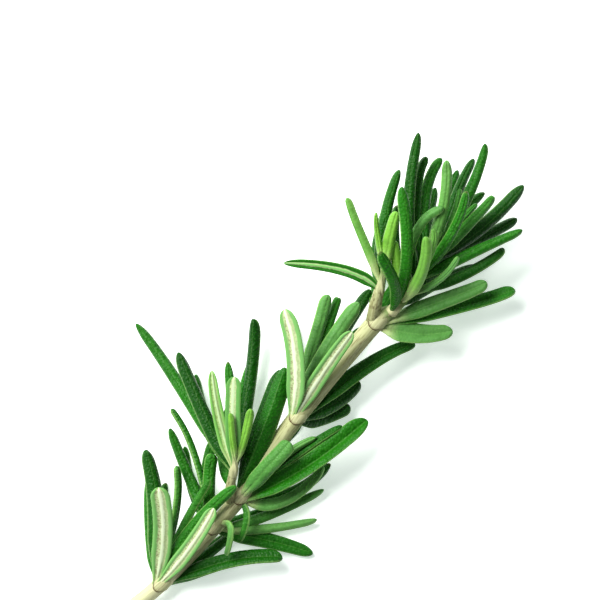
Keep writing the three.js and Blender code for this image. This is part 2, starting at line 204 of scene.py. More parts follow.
# %% The leaves
# A tuft stands on a core of its own, or at a node, which is the number of a place on the stem's route.
# A leaf is: how far along the tuft's core its root is, a point of its midrib halfway, its tip, its
# width, its roll in degrees (0 shows the upper face to the sky, 180 the underside), its tone, its taper
# and its fold.
TUFTS = {
    "leaves_first_node": {
        "node": 2,
        "leaves": [
            (0.3, (31.2, 18.0, 6.0), (29.1, 30.0, 7.5), 4.0, 15, 0.12, 0.4, -0.45),
            (0.2, (32.6, 14.0, 9.6), (32.0, 22.8, 15.0), 4.0, 194, 0.4, 0.0, 0.0),
            (0.3, (35.2, 18.0, 4.6), (35.0, 26.6, 7.0), 2.8, 75, 0.5, 0.25, 0.0),
            (0.2, (38.4, 11.2, 10.0), (42.8, 18.6, 12.6), 3.3, 192, 0.4, 0.25, 0.0),
            (0.4, (39.0, 14.9, 8.6), (47.4, 22.8, 13.2), 3.0, 5, 0.4, 0.35, -0.3),
            (0.4, (37.4, 16.6, 7.4), (42.0, 24.2, 11.6), 2.0, -40, 0.45, 0.35, -0.3),
            (1.0, (45.7, 7.3, 5.0), (56.5, 8.2, 4.4), 3.4, -15, 0.15, -0.2, 0.4),
            (0.5, (41.6, 9.0, 2.8), (46.4, 12.8, 3.4), 2.4, 0, 0.2, 0.35, -0.3),
            (0.5, (31.4, 13.0, 1.4), (33.0, 23.0, 0.25), 3.0, 0, 0.3, 0.35, -0.3),
            (0.5, (39.6, 8.0, 0.9), (48.6, 14.0, 0.25), 3.0, 0, 0.3, 0.35, -0.3),
            (0.4, (30.0, 12.6, 3.6), (29.6, 24.4, 2.8), 2.6, 10, 0.3, 0.35, -0.3),
            (0.5, (42.4, 6.2, 1.4), (52.0, 8.2, 0.25), 2.8, 0, 0.3, 0.35, -0.3),
        ],
    },
    "leaves_second_node": {
        "node": 4,
        "leaves": [
            (0.4, (38.0, 24.0, 3.8), (33.8, 34.2, 4.8), 2.6, 20, 0.25, 0.35, -0.3),
            (0.5, (39.0, 28.8, 4.8), (34.2, 38.2, 5.6), 1.6, 65, 0.25, 0.35, -0.3),
            (0.6, (41.8, 23.0, 7.4), (42.6, 29.2, 8.6), 2.6, 15, 0.4, 0.0, -0.3),
            (1.0, (46.2, 14.2, 10.0), (45.1, 8.9, 7.4), 1.7, 60, 0.7, 0.35, 0.0),
            (0.5, (53.6, 16.8, 3.4), (64.8, 21.8, 3.0), 2.4, -25, 0.5, 0.35, -0.3),
            (0.5, (52.6, 14.0, 3.6), (63.4, 15.8, 2.2), 2.2, -10, 0.7, 0.35, -0.3),
            (0.4, (52.4, 11.7, 2.6), (62.6, 8.7, 1.0), 3.7, -5, 0.2, 0.35, 0.2),
            (0.5, (41.0, 22.6, 1.6), (42.6, 32.0, 0.25), 3.0, 0, 0.3, 0.35, -0.3),
            (0.4, (38.4, 21.4, 1.6), (36.6, 30.4, 0.25), 2.4, 0, 0.3, 0.35, -0.3),
            (0.5, (47.6, 15.4, 1.6), (56.8, 19.0, 0.25), 2.8, 0, 0.3, 0.35, -0.3),
        ],
    },
    "leaves_third_node": {
        "node": 5,
        "leaves": [
            (0.5, (52.5, 33.9, 11.8), (57.0, 46.6, 11.9), 4.6, -12, 0.22, 0.25, -0.8),
            (0.3, (53.8, 27.0, 12.6), (58.0, 31.8, 14.0), 3.4, 10, 0.58, 0.0, -0.1),
            (0.6, (56.8, 28.8, 9.6), (63.2, 32.6, 9.2), 1.8, 0, 0.7, 0.35, -0.3),
            (0.6, (59.4, 29.0, 8.4), (68.6, 34.6, 8.4), 2.4, -40, 0.2, 0.35, 0.4),
            (0.4, (61.0, 26.4, 8.6), (73.6, 35.8, 7.6), 4.1, -15, 0.32, 0.0, 0.7),
            (0.4, (56.6, 19.6, 5.6), (64.8, 26.6, 5.0), 2.8, -20, 0.62, 0.35, 0.2),
            (0.3, (49.2, 16.0, 8.0), (47.6, 11.4, 6.6), 1.6, 80, 0.45, 0.35, -0.3),
            (0.7, (51.7, 33.6, 9.9), (56.3, 46.0, 9.8), 3.8, -12, 0.05, 0.25, 0.0),
            (0.5, (57.4, 26.0, 1.8), (66.0, 31.6, 0.25), 3.0, 0, 0.3, 0.35, -0.3),
            (0.5, (58.0, 21.0, 4.4), (66.2, 27.0, 3.6), 2.8, 0, 0.25, 0.35, -0.3),
            (0.5, (44.6, 29.2, 4.4), (46.6, 40.0, 2.4), 2.8, 0, 0.3, 0.35, -0.3),
            (0.5, (53.0, 27.6, 1.4), (60.4, 35.0, 0.25), 2.8, 0, 0.3, 0.35, -0.3),
        ],
    },
    "leaves_side_shoot": {
        "core": [
            (46.5, 24.6, 11.5, 1.75),
            (46.9, 26.4, 12.7, 1.75),
            (47.2, 28.4, 13.6, 1.2),
            (47.2, 30.4, 14.6, 0.7),
        ],
        "leaves": [
            (0.3, (41.0, 37.0, 11.6), (35.8, 49.6, 11.0), 3.2, 15, 0.06, 0.25, -0.45),
            (0.2, (36.6, 41.8, 8.4), (27.0, 55.2, 6.4), 2.8, 20, 0.3, 0.35, -0.3),
            (0.3, (44.0, 36.0, 14.6), (42.6, 46.0, 16.4), 2.8, 200, 0.7, 0.4, 0.0),
            (0.4, (46.8, 36.0, 15.6), (47.0, 44.8, 17.4), 3.2, 172, 0.33, 0.0, 0.0),
            (0.45, (48.8, 32.4, 15.2), (50.4, 38.4, 16.8), 1.8, 0, 0.82, 0.0, -0.3),
            (0.05, (49.4, 42.0, 5.2), (50.6, 56.2, 7.0), 2.8, -15, 0.04, 0.1, -0.6),
            (0.55, (46.6, 32.2, 16.4), (46.0, 37.6, 17.6), 1.5, 0, 0.85, 0.35, -0.3),
            (0.2, (40.6, 36.0, 6.4), (37.2, 46.4, 4.4), 2.6, 10, 0.3, 0.35, -0.3),
            (0.2, (46.6, 36.6, 7.2), (45.6, 47.6, 4.6), 2.6, 0, 0.3, 0.35, -0.3),
            (0.2, (47.6, 37.0, 5.6), (50.4, 48.0, 3.4), 2.2, 0, 0.3, 0.35, -0.3),
            (0.2, (41.4, 35.2, 3.4), (39.0, 45.0, 0.25), 2.6, 0, 0.3, 0.35, -0.3),
        ],
    },
    "leaves_fourth_node": {
        "node": 7,
        "leaves": [
            (0.2, (59.2, 47.0, 15.6), (57.0, 58.2, 19.0), 4.0, 162, 0.4, 0.0, 0.0),
            (0.2, (64.7, 46.1, 14.8), (70.3, 53.8, 17.6), 3.6, 200, 0.5, 0.25, 0.0),
            (0.6, (65.0, 49.6, 11.4), (71.8, 59.4, 12.2), 3.0, 10, 0.65, 0.0, -0.3),
            (0.4, (62.8, 51.0, 9.6), (65.8, 61.0, 10.6), 2.8, 15, 0.65, 0.0, -0.3),
            (0.4, (65.2, 53.6, 8.0), (67.8, 60.4, 8.2), 2.2, 0, 0.4, 0.25, -0.3),
            (0.3, (67.4, 51.6, 5.8), (74.0, 62.2, 5.4), 3.0, 10, 0.1, 0.25, -0.3),
            (0.4, (73.0, 46.2, 6.4), (83.2, 51.0, 4.8), 3.6, -15, 0.15, 0.35, 0.45),
            (0.4, (67.4, 39.6, 5.4), (72.0, 43.6, 3.8), 3.2, -10, 0.1, 0.25, -0.3),
            (0.3, (64.8, 36.6, 4.4), (70.0, 38.8, 3.2), 3.6, -10, 0.03, 0.25, -0.3),
            (0.3, (59.2, 46.0, 4.4), (57.8, 56.6, 1.8), 3.0, 10, 0.2, 0.35, -0.3),
            (0.4, (65.6, 45.6, 1.6), (72.2, 54.4, 0.25), 3.0, 0, 0.3, 0.35, -0.3),
            (0.3, (68.4, 43.4, 1.6), (76.8, 48.2, 0.25), 3.0, 0, 0.3, 0.35, -0.3),
            (0.4, (62.2, 46.0, 2.0), (64.4, 56.4, 0.25), 2.8, 0, 0.3, 0.35, -0.3),
        ],
    },
    "leaves_short_shoot": {
        "core": [
            (75.4, 60.8, 14.5, 1.9),
            (75.9, 62.6, 15.4, 1.9),
            (76.4, 64.8, 16.4, 1.2),
            (76.8, 66.8, 17.2, 0.7),
        ],
        "leaves": [
            (0.4, (72.2, 72.0, 17.6), (69.2, 80.2, 18.6), 2.0, -30, 0.75, 0.25, -0.45),
            (0.8, (75.4, 72.6, 18.4), (75.0, 77.2, 20.0), 1.4, 0, 0.85, 0.5, -0.3),
            (0.3, (76.8, 75.6, 15.6), (79.8, 85.8, 16.0), 2.6, 10, 0.2, 0.35, -0.55),
            (0.7, (77.6, 71.8, 18.2), (79.2, 77.4, 19.4), 2.8, 0, 0.85, 0.35, -0.3),
            (0.2, (69.4, 65.7, 15.4), (56.8, 67.3, 13.4), 2.6, 165, 0.22, 0.35, 0.0),
            (0.2, (75.4, 71.4, 12.0), (78.4, 81.4, 11.4), 2.4, 0, 0.3, 0.35, -0.3),
        ],
    },
    "leaves_fifth_node": {
        "node": 9,
        "leaves": [
            (0.4, (83.2, 53.1, 9.0), (90.6, 53.8, 8.2), 4.8, -20, 0.65, 0.4, 0.45),
            (0.5, (92.0, 58.5, 7.4), (103.2, 62.0, 6.2), 3.4, -20, 0.37, 0.0, 0.45),
            (0.7, (89.0, 60.0, 11.0), (97.3, 63.5, 11.4), 3.6, -10, 0.6, 0.25, 0.1),
            (0.3, (84.2, 57.4, 2.4), (93.6, 59.4, 0.25), 3.0, 0, 0.3, 0.35, -0.3),
            (0.3, (80.4, 64.6, 2.4), (85.6, 74.0, 0.25), 3.0, 0, 0.3, 0.35, -0.3),
            (0.3, (76.2, 65.0, 2.8), (77.4, 75.4, 0.25), 3.0, 10, 0.3, 0.35, -0.3),
            (0.4, (80.6, 60.4, 1.8), (90.0, 66.0, 0.25), 3.0, 0, 0.3, 0.35, -0.3),
        ],
    },
    "leafy_tip": {
        "core": [
            (77.5, 57.0, 12.2, 2.15),
            (80.7, 60.4, 12.8, 2.0),
            (85.0, 67.2, 13.8, 1.5),
            (89.4, 72.6, 15.0, 0.9),
        ],
        "leaves": [
            (0.05, (79.2, 62.6, 19.4), (75.6, 69.4, 23.6), 2.6, 20, 0.2, 0.0, -0.55),
            (0.15, (81.4, 68.4, 19.8), (79.8, 82.2, 24.0), 2.6, 20, 0.35, 0.0, -0.55),
            (0.5, (81.6, 79.0, 15.4), (83.4, 93.2, 16.0), 2.6, 10, 0.1, 0.25, -0.3),
            (0.6, (83.2, 81.0, 12.6), (85.4, 88.4, 12.8), 2.2, 10, 0.15, 0.25, -0.3),
            (0.7, (85.0, 80.4, 10.6), (88.4, 88.2, 10.4), 2.6, 10, 0.3, 0.25, -0.3),
            (0.3, (82.8, 73.4, 18.2), (88.4, 78.0, 20.0), 2.0, 0, 0.6, 0.0, -0.3),
            (0.6, (88.0, 77.0, 18.6), (89.0, 87.6, 20.0), 2.2, 10, 0.72, 0.0, -0.3),
            (0.9, (91.2, 80.8, 12.6), (94.6, 88.2, 12.0), 2.4, 0, 0.1, 0.35, -0.3),
            (0.8, (93.3, 80.8, 15.2), (96.8, 91.0, 16.0), 2.6, 10, 0.25, 0.35, -0.3),
            (0.5, (90.0, 73.0, 19.2), (92.6, 81.4, 22.6), 2.2, 0, 0.38, 0.25, -0.3),
            (0.6, (93.4, 75.0, 17.0), (98.0, 80.5, 19.6), 2.4, -10, 0.45, 0.35, -0.3),
            (0.7, (95.6, 73.8, 12.6), (104.6, 82.8, 12.2), 3.2, 35, 0.0, 0.25, -0.3),
            (0.7, (95.6, 72.0, 9.4), (103.4, 76.4, 8.0), 2.6, 25, 0.05, 0.25, -0.3),
            (0.5, (94.2, 69.6, 14.4), (104.2, 73.8, 14.8), 2.6, -10, 0.34, 0.35, -0.3),
            (0.4, (93.0, 65.4, 11.8), (100.6, 70.4, 11.6), 2.6, -10, 0.15, 0.25, -0.3),
            (0.35, (87.6, 64.0, 17.4), (91.3, 68.4, 20.6), 1.5, 0, 0.66, 0.25, -0.3),
            (0.4, (85.8, 69.4, 19.8), (86.2, 74.0, 22.6), 1.7, 0, 0.75, 0.35, -0.3),
            (0.25, (83.6, 64.8, 19.6), (84.6, 72.4, 25.0), 2.5, -10, 0.78, 0.1, -0.3),
            (0.3, (79.0, 67.4, 15.6), (78.6, 71.8, 16.8), 2.4, 0, 0.9, 0.35, -0.3),
            (0.9, (90.6, 77.4, 16.6), (91.6, 82.0, 17.6), 1.6, 0, 0.5, 0.4, -0.3),
            (0.9, (92.0, 75.8, 16.0), (95.0, 79.2, 16.6), 1.6, 0, 0.45, 0.4, -0.3),
            (0.3, (87.6, 66.4, 7.6), (94.8, 72.0, 4.2), 2.8, 0, 0.2, 0.35, -0.3),
            (0.5, (85.0, 74.0, 7.6), (87.4, 82.6, 4.6), 2.8, 0, 0.2, 0.35, -0.3),
            (0.6, (90.4, 75.0, 8.8), (97.0, 81.6, 6.2), 2.6, 0, 0.2, 0.35, -0.3),
            (0.4, (79.3, 68.6, 9.4), (79.5, 79.0, 6.4), 2.8, 10, 0.1, 0.35, -0.3),
            (0.5, (90.2, 70.4, 6.4), (98.8, 75.2, 3.0), 2.8, 0, 0.2, 0.35, -0.3),
            (0.3, (83.6, 69.4, 6.6), (84.4, 79.6, 3.2), 2.6, 10, 0.2, 0.35, -0.3),
            (0.7, (88.4, 78.0, 9.8), (91.6, 86.0, 7.8), 2.4, 0, 0.2, 0.35, -0.3),
            (0.2, (86.4, 62.8, 7.4), (95.2, 67.2, 3.6), 2.6, 0, 0.2, 0.35, -0.3),
        ],
    },
}
print("leaves:", sum(len(tuft["leaves"]) for tuft in TUFTS.values()))

# %% [markdown]
# ## Curves through places
#
# Both the wood and the cores of the tufts run smoothly through their places. A Catmull-Rom curve does
# that with no handles to set: between two places it also looks at the one before and the one after. The
# same function serves for a place and for the direction there.

# %% A smooth curve through rows of x, y, z and radius
def along(rows, share):
    """The centre, in millimetres, and the radius of a route at a share of its length, 0 to 1."""
    spot = share * (len(rows) - 1)
    i = min(int(spot), len(rows) - 2)
    u = spot - i
    b, c = Vector(rows[i][:3]), Vector(rows[i + 1][:3])
    a = Vector(rows[i - 1][:3]) if i > 0 else 2 * b - c
    d = Vector(rows[i + 2][:3]) if i + 2 < len(rows) else 2 * c - b
    centre = 0.5 * (2 * b + (c - a) * u + (2 * a - 5 * b + 4 * c - d) * u**2 + (3 * b - a - 3 * c + d) * u**3)
    return centre, rows[i][3] * (1 - u) + rows[i + 1][3] * u


def heading(rows, share):
    """The direction of a route at a share of its length."""
    step = 0.002
    ahead, _ = along(rows, min(1.0, share + step))
    behind, _ = along(rows, max(0.0, share - step))
    return (ahead - behind).normalized()


print("the stem's middle is at", [round(v, 1) for v in along(STEM_ROUTE, 0.5)[0]])

# %% [markdown]
# ## One leaf
#
# A rosemary leaf is a narrow leathery strap. Its upper face is dark and finely blistered, with a groove
# down the middle. Its margins are rolled under, so from below one sees two green rolls, a felted furrow
# inside each, and a broad cream midrib between them. It is a little narrower at its root and ends in a
# blunt round tip.
#
# The leaf could be drawn by hand as a subdivision surface, but its section is the same all the way
# along, so it is lofted: one section is repeated on rings along a straight unit leaf. X is the share of
# half of the width, Y runs from root to tip, and Z is the share of the thickness. Two attributes go
# with each point and stay when the leaf is bent: one is its straight place, for the tree that bends it,
# and the other says which face it is on and where, for the finish.

# %% The section and the outline of a leaf
# Half of the section, from the middle of the upper face, round the right margin, to the middle of the
# underside.
LEAF_SECTION = [
    (0.0, 0.33),
    (0.09, 0.37),
    (0.22, 0.46),
    (0.38, 0.5),
    (0.57, 0.44),
    (0.76, 0.29),
    (0.92, 0.05),
    (1.0, -0.16),
    (0.95, -0.35),
    (0.8, -0.43),
    (0.66, -0.41),
    (0.54, -0.33),
    (0.42, -0.3),
    (0.28, -0.34),
    (0.16, -0.43),
    (0.0, -0.48),
]
UPPER_POINTS = 8
LEAF_ROOT_SHARE = 0.38
LEAF_FULL_WIDTH_AT = 0.3
LEAF_TIP_FROM = 0.87
TIP_ARC = math.radians(86)
THICKENS_FASTER = 1.5
SHAFT_RINGS = 64
TIP_RINGS = 15


def leaf_rings():
    """Rings of the unit leaf: how far along each is, and its share of the full width."""
    rings = []
    for i in range(SHAFT_RINGS):
        t = LEAF_TIP_FROM * i / SHAFT_RINGS
        u = min(1.0, t / LEAF_FULL_WIDTH_AT)
        rings.append((t, LEAF_ROOT_SHARE + (1 - LEAF_ROOT_SHARE) * u * u * (3 - 2 * u)))
    for i in range(TIP_RINGS):
        turn = TIP_ARC * i / (TIP_RINGS - 1)
        rings.append((LEAF_TIP_FROM + (1 - LEAF_TIP_FROM) * math.sin(turn), math.cos(turn)))
    return rings


# %% The unit leaf
def add_attribute(mesh, name, kind, values):
    """A point attribute of a mesh: kind is FLOAT or FLOAT_VECTOR."""
    attribute = mesh.attributes.new(name, kind, "POINT")
    key = "vector" if kind == "FLOAT_VECTOR" else "value"
    flat = [number for value in values for number in value] if key == "vector" else values
    attribute.data.foreach_set(key, flat)


def tube_faces(rings, sides):
    """Faces that join rings of points, with a fan at each end whose middle points come last."""
    faces = []
    for ring in range(rings - 1):
        for side in range(sides):
            here, across = ring * sides + side, ring * sides + (side + 1) % sides
            faces.append((here, across, across + sides, here + sides))
    first, last = rings * sides, rings * sides + 1
    top = (rings - 1) * sides
    for side in range(sides):
        faces.append((first, (side + 1) % sides, side))
        faces.append((last, top + side, top + (side + 1) % sides))
    return faces


def make_unit_leaf():
    """The straight unit leaf, as an object that the tree copies."""
    right = [(x, z, 1.0 if i < UPPER_POINTS else 0.0) for i, (x, z) in enumerate(LEAF_SECTION)]
    left = [(-x, z, face) for x, z, face in reversed(right[1:-1])]
    section = right + left
    points, places = [], []
    rings = leaf_rings()
    for t, share in rings:
        thick = min(1.0, THICKENS_FASTER * share)
        for x, z, face in section:
            points.append((x * share, t, z * thick))
            places.append((x, t, face))
    for t, share in (rings[0], rings[-1]):
        points.append((0.0, t, 0.0))
        places.append((0.0, t, 0.5))
    mesh = bpy.data.meshes.new("unit leaf")
    mesh.from_pydata(points, [], tube_faces(len(rings), len(section)))
    add_attribute(mesh, "unit", "FLOAT_VECTOR", points)
    add_attribute(mesh, "leaf_place", "FLOAT_VECTOR", places)
    mesh.materials.append(leaf_material)
    leaf = bpy.data.objects.new("unit leaf", mesh)
    scene.collection.objects.link(leaf)
    return leaf


# %% [markdown]
# ## Helpers for node trees
#
# A node tree is easier to read as a formula than as a picture, so one helper adds a node, feeds it, and
# gives back its output. A value in the list is either another node's output or a plain number.

# %% Add a node and give its output
def add_node(tree, kind, *values, output=0, **settings):
    """Adds a node, feeds its inputs in order, where None skips one, and gives its output socket."""
    made = tree.nodes.new(kind)
    for name, value in settings.items():
        setattr(made, name, value)
    for place, value in enumerate(values):
        if isinstance(value, bpy.types.NodeSocket):
            tree.links.new(value, made.inputs[place])
        elif value is not None:
            made.inputs[place].default_value = value
    return made.outputs[output]


class Formula:
    """Short names for the sums that a node tree works out."""

    def __init__(self, tree):
        self.tree = tree

    def number(self, operation, *values):
        return add_node(self.tree, "ShaderNodeMath", *values, operation=operation)

    def vector(self, operation, *values):
        return add_node(self.tree, "ShaderNodeVectorMath", *values, operation=operation)

    def scaled(self, vector, factor):
        return add_node(self.tree, "ShaderNodeVectorMath", vector, None, None, factor, operation="SCALE")

    def dot(self, one, other):
        return add_node(self.tree, "ShaderNodeVectorMath", one, other, operation="DOT_PRODUCT", output=1)

    def length(self, vector):
        return add_node(self.tree, "ShaderNodeVectorMath", vector, operation="LENGTH", output=1)

    def split(self, vector):
        first = add_node(self.tree, "ShaderNodeSeparateXYZ", vector)
        return first.node.outputs

    def joined(self, x, y, z):
        return add_node(self.tree, "ShaderNodeCombineXYZ", x, y, z)


# %% [markdown]
# ## A tree that bends a leaf onto each place
#
# The input is a handful of loose points, one for each leaf, which carry the leaf's root, bend, tip,
# shape and look as attributes. The tree puts a unit leaf on each point and makes the copies real, so
# that every vertex knows its own leaf's numbers. Then it moves each vertex: along the leaf's curve by
# its Y, across it by its X and above it by its Z. Bending in a tree keeps one leaf to improve for all
# hundred, and a curve with a profile could not give the groove, the rolled margins and the roll at
# once.
#
# After the bend come the small things: the leaf sways a little, the blisters of its upper face stand
# up, and whatever would sink into the table is pressed flat on it.

# %% The tree's inputs
leaf_tree = bpy.data.node_groups.new("leaves of a tuft", "GeometryNodeTree")
TREE_INPUTS = {
    "Leaf places": "NodeSocketGeometry",
    "Leaf": "NodeSocketObject",
    "Leaf bases": "NodeSocketObject",
    "Thickness": "NodeSocketFloat",
    "Sway": "NodeSocketFloat",
    "Blister height": "NodeSocketFloat",
    "Blisters per mm": "NodeSocketFloat",
    "Leaf finish": "NodeSocketMaterial",
    "Base finish": "NodeSocketMaterial",
}
for input_name, socket_type in TREE_INPUTS.items():
    leaf_tree.interface.new_socket(input_name, in_out="INPUT", socket_type=socket_type)
leaf_tree.interface.new_socket("Tuft", in_out="OUTPUT", socket_type="NodeSocketGeometry")
identifier = {item.name: item.identifier for item in leaf_tree.interface.items_tree if item.in_out == "INPUT"}
print("tree inputs:", sorted(identifier))

# %% The tree
TABLE_CLEARANCE = 0.00002
OBJECT_GEOMETRY = 4
LEAF_TWIST = 0.5
PHASE_SPREAD = 40.0
OTHER_PHASE = 1.7
SIDE_WAVE = 5.0
HEIGHT_WAVE = 7.0
BLISTER_TOP = 0.5
BLISTERS_OLD = 1.1
BLISTERS_LOST = 1.4
BLISTERS_LEAST = 0.1


def attribute_of(tree, name, kind="FLOAT_VECTOR"):
    """A named attribute as a socket."""
    return add_node(tree, "GeometryNodeInputNamedAttribute", name, data_type=kind)


def build_leaf_tree(tree):
    """Fills the tree: copies, bends and finishes the leaves, and adds the leaf bases."""
    f = Formula(tree)
    group = tree.nodes.new("NodeGroupInput")
    given = {socket.name: socket for socket in group.outputs}
    leaf = add_node(tree, "GeometryNodeObjectInfo", given["Leaf"], output=OBJECT_GEOMETRY)
    copies = add_node(tree, "GeometryNodeInstanceOnPoints", given["Leaf places"], None, leaf)
    real = add_node(tree, "GeometryNodeRealizeInstances", copies)

    # The leaf's own numbers.
    root, bend, tip = (attribute_of(tree, name) for name in ("root", "bend", "tip"))
    width, roll, taper = f.split(attribute_of(tree, "shape"))
    tone, seed, fold = f.split(attribute_of(tree, "leaf_look"))
    unit_x, t, unit_z = f.split(attribute_of(tree, "unit"))

    # The point on the midrib and the direction there, by the formula of a quadratic curve.
    back = f.number("SUBTRACT", 1.0, t)
    start = f.scaled(root, f.number("MULTIPLY", back, back))
    middle = f.scaled(bend, f.number("MULTIPLY", f.number("MULTIPLY", 2.0, back), t))
    end = f.scaled(tip, f.number("MULTIPLY", t, t))
    on_midrib = f.vector("ADD", f.vector("ADD", start, middle), end)
    first_leg = f.scaled(f.vector("SUBTRACT", bend, root), back)
    second_leg = f.scaled(f.vector("SUBTRACT", tip, bend), t)
    forward = f.vector("NORMALIZE", f.vector("ADD", first_leg, second_leg))

    # Up is the sky less what points along the leaf, and both directions are then rolled about the
    # midrib.
    sky = f.joined(0.0, 0.0, 1.0)
    upright = f.vector("NORMALIZE", f.vector("SUBTRACT", sky, f.scaled(forward, f.dot(sky, forward))))
    sideways = f.vector("CROSS_PRODUCT", forward, upright)
    twist = f.number("MULTIPLY", f.number("SUBTRACT", seed, 0.5), f.number("MULTIPLY", t, LEAF_TWIST))
    swayed_roll = f.number("ADD", roll, twist)
    cosine, sine = f.number("COSINE", swayed_roll), f.number("SINE", swayed_roll)
    above = f.vector("ADD", f.scaled(upright, cosine), f.scaled(sideways, sine))
    across = f.vector("SUBTRACT", f.scaled(sideways, cosine), f.scaled(upright, sine))

    # Across by half of the width, less the taper.
    lost = f.number("MULTIPLY", taper, f.number("MULTIPLY", t, t))
    half_width = f.number("MULTIPLY", f.number("MULTIPLY", width, 0.5), f.number("SUBTRACT", 1.0, lost))
    aside = f.number("MULTIPLY", unit_x, half_width)
    folded = f.number("MULTIPLY", f.number("ABSOLUTE", aside), fold)

    # A slow sway along the leaf, one wave to the side and one up and down, each leaf with its own
    # phase.
    phase = f.number("MULTIPLY", seed, PHASE_SPREAD)
    wave = f.number("SINE", f.number("ADD", f.number("MULTIPLY", t, SIDE_WAVE), phase))
    other_phase = f.number("MULTIPLY", phase, OTHER_PHASE)
    other_wave = f.number("SINE", f.number("ADD", f.number("MULTIPLY", t, HEIGHT_WAVE), other_phase))
    sway = f.number("MULTIPLY", given["Sway"], t)
    aside = f.number("ADD", aside, f.number("MULTIPLY", wave, sway))

    # Blisters on the upper face: cells of real size, highest in their middle and lower on young leaves.
    metres_long = f.length(f.vector("SUBTRACT", tip, root))
    along_mm = f.number("MULTIPLY", f.number("MULTIPLY", t, metres_long), 1 / MM)
    across_mm = f.number("MULTIPLY", aside, 1 / MM)
    pattern = f.joined(across_mm, along_mm, phase)
    cells = add_node(tree, "ShaderNodeTexVoronoi", pattern, None, given["Blisters per mm"], feature="F1")
    upper_face = f.split(attribute_of(tree, "leaf_place"))[2]
    dome = f.number("MULTIPLY", f.number("SUBTRACT", BLISTER_TOP, cells), upper_face)
    lower = f.number("MULTIPLY", tone, BLISTERS_LOST)
    raised = f.number("MAXIMUM", f.number("SUBTRACT", BLISTERS_OLD, lower), BLISTERS_LEAST)
    lift = f.number("MULTIPLY", f.number("MULTIPLY", dome, raised), given["Blister height"])
    height = f.number("ADD", f.number("MULTIPLY", unit_z, given["Thickness"]), lift)
    height = f.number("ADD", height, f.number("MULTIPLY", other_wave, sway))
    height = f.number("ADD", height, folded)

    moved = f.vector("ADD", f.vector("ADD", on_midrib, f.scaled(across, aside)), f.scaled(above, height))
    x, y, z = f.split(moved)
    on_table = f.joined(x, y, f.number("MAXIMUM", z, TABLE_CLEARANCE))
    bent = add_node(tree, "GeometryNodeSetPosition", real, None, on_table)
    measured = add_node(
        tree, "GeometryNodeStoreNamedAttribute", bent, None, "leaf_mm", pattern,
        data_type="FLOAT_VECTOR", domain="POINT",
    )

    # The leaf bases join the leaves, and each gets its finish.
    bases = add_node(tree, "GeometryNodeObjectInfo", given["Leaf bases"], output=OBJECT_GEOMETRY)
    both = tree.nodes.new("GeometryNodeJoinGeometry")
    tree.links.new(measured, both.inputs[0])
    tree.links.new(bases, both.inputs[0])
    smooth = add_node(tree, "GeometryNodeSetShadeSmooth", both.outputs[0])
    whole = add_node(tree, "GeometryNodeRealizeInstances", smooth)
    leafy = add_node(tree, "GeometryNodeSetMaterial", whole, None, given["Leaf finish"])
    is_base = attribute_of(tree, "is_base", "BOOLEAN")
    dressed = add_node(tree, "GeometryNodeSetMaterial", leafy, is_base, given["Base finish"])
    result = tree.nodes.new("NodeGroupOutput")
    tree.links.new(dressed, result.inputs[0])


build_leaf_tree(leaf_tree)
print("tree of", len(leaf_tree.nodes), "nodes")

# %% [markdown]
# ## The finish of a leaf
#
# One material serves for all of the leaf, because the attributes say where each point is: on the upper
# face or the underside, near the margin or the midrib, near the root or the tip, and how old the leaf
# is. The upper face goes from deep green to yellow-green with the leaf's tone. A painted highlight runs
# along its margins and sits on the tops of its blisters, painted shade darkens the creases between the
# blisters, and a faint pale thread runs in its groove. The underside is felted pale green with a cream
# midrib and dark specks in the furrows. At its root a leaf fades to cream, the more so the younger it
# is, while the darkest are green all the way. The blisters that are too fine for the mesh are a bump.

# %% Colours of the leaf
BLISTERS_PER_MM = 2.1
LEAF_BUMP = 0.22 * MM
DEEP_GREEN = (0.003, 0.052, 0.001, 1.0)
MIDDLE_GREEN = (0.014, 0.145, 0.004, 1.0)
LIGHT_GREEN = (0.085, 0.245, 0.055, 1.0)
YOUNG_GREEN = (0.15, 0.37, 0.04, 1.0)
# Pale green for the painted highlights on the margins and the blister tops, and for the pale thread in the
# groove.
PALE_AND_HIGHLIGHT_GREEN = (0.2, 0.4, 0.1, 1.0)
FELT_GREEN = (0.4, 0.5, 0.25, 1.0)
ROLL_GREEN = (0.15, 0.37, 0.1, 1.0)
MIDRIB_CREAM = (0.64, 0.74, 0.5, 1.0)
SPECK_BROWN = (0.23, 0.25, 0.12, 1.0)
ROOT_CREAM = (0.48, 0.55, 0.26, 1.0)
TIP_BROWN = (0.1, 0.07, 0.02, 1.0)


class Paint(Formula):
    """The sums of a Formula, and the colour work of a finish."""

    def attribute(self, name, output=1):
        return add_node(self.tree, "ShaderNodeAttribute", attribute_name=name, output=output)

    def ramp(self, value, low, high, start=0.0, end=1.0):
        """Runs from start to end as the value goes from low to high, smoothly."""
        return add_node(
            self.tree, "ShaderNodeMapRange", value, low, high, start, end, interpolation_type="SMOOTHSTEP"
        )

    def mixed(self, factor, one, other):
        numbers_only = [None] * 5
        return add_node(
            self.tree, "ShaderNodeMix", factor, *numbers_only, one, other, data_type="RGBA", output=2
        )

    def noise(self, vector, scale, detail=3.0):
        return add_node(self.tree, "ShaderNodeTexNoise", vector, None, scale, detail)


def new_material(name):
    """A material with its tree, the paint that works on it and its shader node."""
    material = bpy.data.materials.new(name)
    material.use_nodes = True
    tree = material.node_tree
    return material, Paint(tree), tree.nodes["Principled BSDF"]


